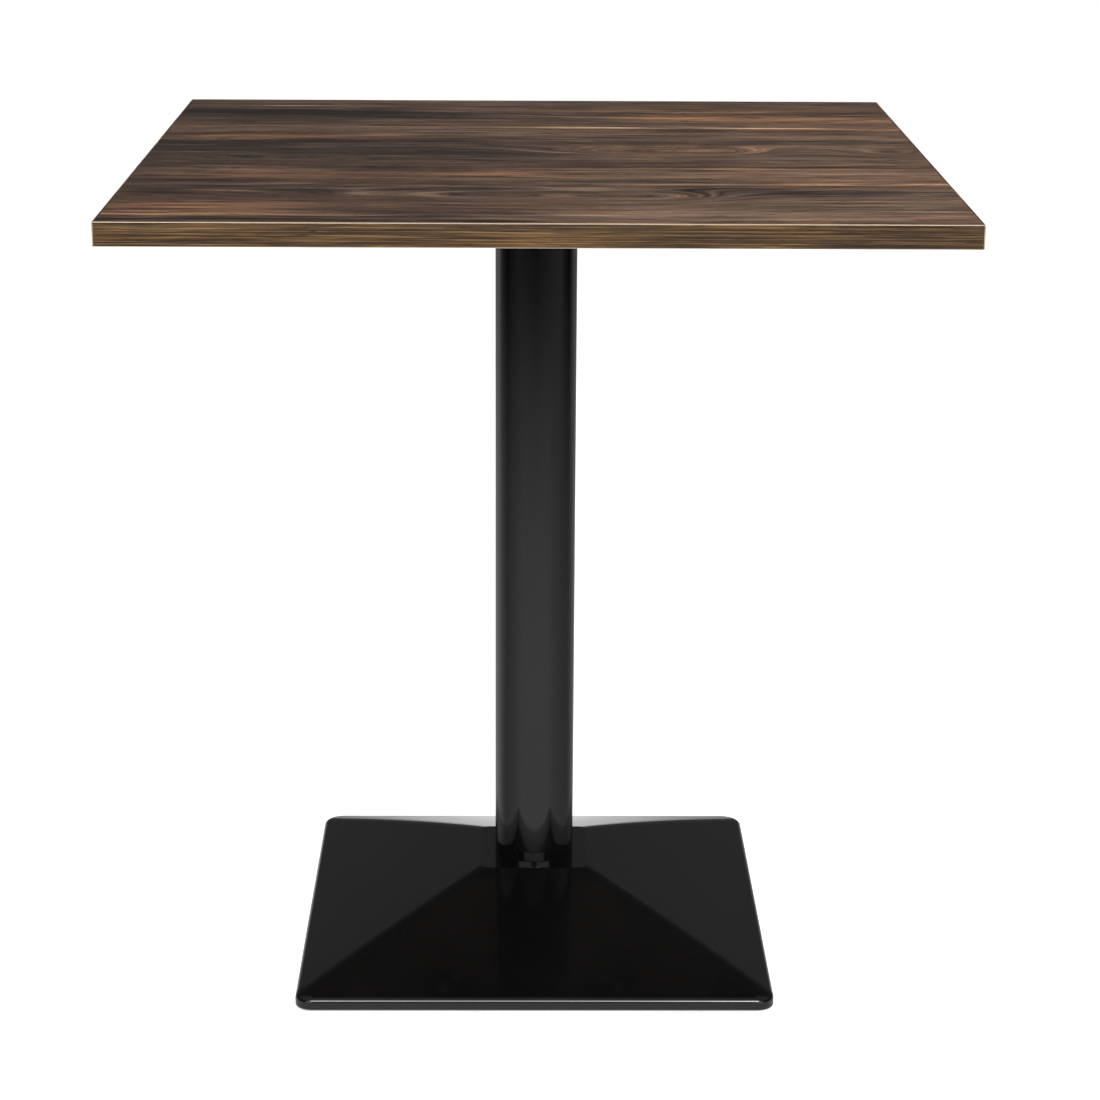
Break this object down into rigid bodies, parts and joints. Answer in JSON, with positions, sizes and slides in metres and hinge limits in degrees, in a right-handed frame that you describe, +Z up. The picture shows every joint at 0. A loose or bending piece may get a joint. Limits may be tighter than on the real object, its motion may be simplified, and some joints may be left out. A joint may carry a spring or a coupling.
{
  "type": "bistro table",
  "caption": "Square laminated café table on a round steel column and a low weighted pyramid foot with screw-adjustable levelling feet.",
  "frame": {"origin": "on the floor, under the middle of the column", "axes": "+Z up; the table's front faces -Y and +X is to the right, seen from the front"},
  "size_m": [0.7, 0.7, 0.745],
  "materials": {
    "wood_laminate": "satin",
    "backing_laminate": "matte",
    "chipboard": "matte",
    "edge_band": "satin",
    "painted_casting": "satin",
    "raw_casting": "matte",
    "black_column": "gloss",
    "black_foot": "gloss",
    "zinc_steel": "satin",
    "foot_plastic": "matte"
  },
  "bodies": {
    "table": {"top_core": "chipboard", "top_laminate": "wood_laminate", "underside_laminate": "backing_laminate", "edge_band_front": "edge_band", "edge_band_back": "edge_band", "edge_band_left": "edge_band", "edge_band_right": "edge_band", "mounting_plate": "painted_casting", "plate_screw_1": "zinc_steel", "plate_screw_2": "zinc_steel", "plate_screw_3": "zinc_steel", "plate_screw_4": "zinc_steel", "plate_screw_5": "zinc_steel", "plate_screw_6": "zinc_steel", "plate_screw_7": "zinc_steel", "plate_screw_8": "zinc_steel", "column_tube": "black_column", "column_centring_cup": "zinc_steel", "tie_rod": "zinc_steel", "top_washer": "zinc_steel", "top_nut": "zinc_steel", "bottom_washer": "zinc_steel", "bottom_nut": "zinc_steel", "base_cover": "black_foot", "ballast_plate": "raw_casting"},
    "pad_front_left": {"foot_pad_front_left": "foot_plastic"},
    "pad_front_right": {"foot_pad_front_right": "foot_plastic"},
    "pad_back_right": {"foot_pad_back_right": "foot_plastic"},
    "pad_back_left": {"foot_pad_back_left": "foot_plastic"},
    "screw_front_left": {"foot_screw_front_left": "zinc_steel"},
    "screw_front_right": {"foot_screw_front_right": "zinc_steel"},
    "screw_back_right": {"foot_screw_back_right": "zinc_steel"},
    "screw_back_left": {"foot_screw_back_left": "zinc_steel"}
  },
  "joints": [
    {"name": "lower_front_left", "type": "slide", "parent": "table", "child": "pad_front_left", "axis": [0, 0, -1], "range_m": [0, 0.008]},
    {"name": "lower_front_right", "type": "slide", "parent": "table", "child": "pad_front_right", "axis": [0, 0, -1], "range_m": [0, 0.008]},
    {"name": "lower_back_right", "type": "slide", "parent": "table", "child": "pad_back_right", "axis": [0, 0, -1], "range_m": [0, 0.008]},
    {"name": "lower_back_left", "type": "slide", "parent": "table", "child": "pad_back_left", "axis": [0, 0, -1], "range_m": [0, 0.008]},
    {"name": "turn_front_left", "type": "hinge", "parent": "pad_front_left", "child": "screw_front_left", "pos_m": [-0.16, -0.16, 0.005], "axis": [0, 0, -1], "range_deg": [0, 2304]},
    {"name": "turn_front_right", "type": "hinge", "parent": "pad_front_right", "child": "screw_front_right", "pos_m": [0.16, -0.16, 0.005], "axis": [0, 0, -1], "range_deg": [0, 2304]},
    {"name": "turn_back_right", "type": "hinge", "parent": "pad_back_right", "child": "screw_back_right", "pos_m": [0.16, 0.16, 0.005], "axis": [0, 0, -1], "range_deg": [0, 2304]},
    {"name": "turn_back_left", "type": "hinge", "parent": "pad_back_left", "child": "screw_back_left", "pos_m": [-0.16, 0.16, 0.005], "axis": [0, 0, -1], "range_deg": [0, 2304]}
  ],
  "couplings": [
    {"joint": "lower_front_left", "follows": "turn_front_left", "m_per_rad": 0.00019894},
    {"joint": "lower_front_right", "follows": "turn_front_right", "m_per_rad": 0.00019894},
    {"joint": "lower_back_right", "follows": "turn_back_right", "m_per_rad": 0.00019894},
    {"joint": "lower_back_left", "follows": "turn_back_left", "m_per_rad": 0.00019894}
  ]
}
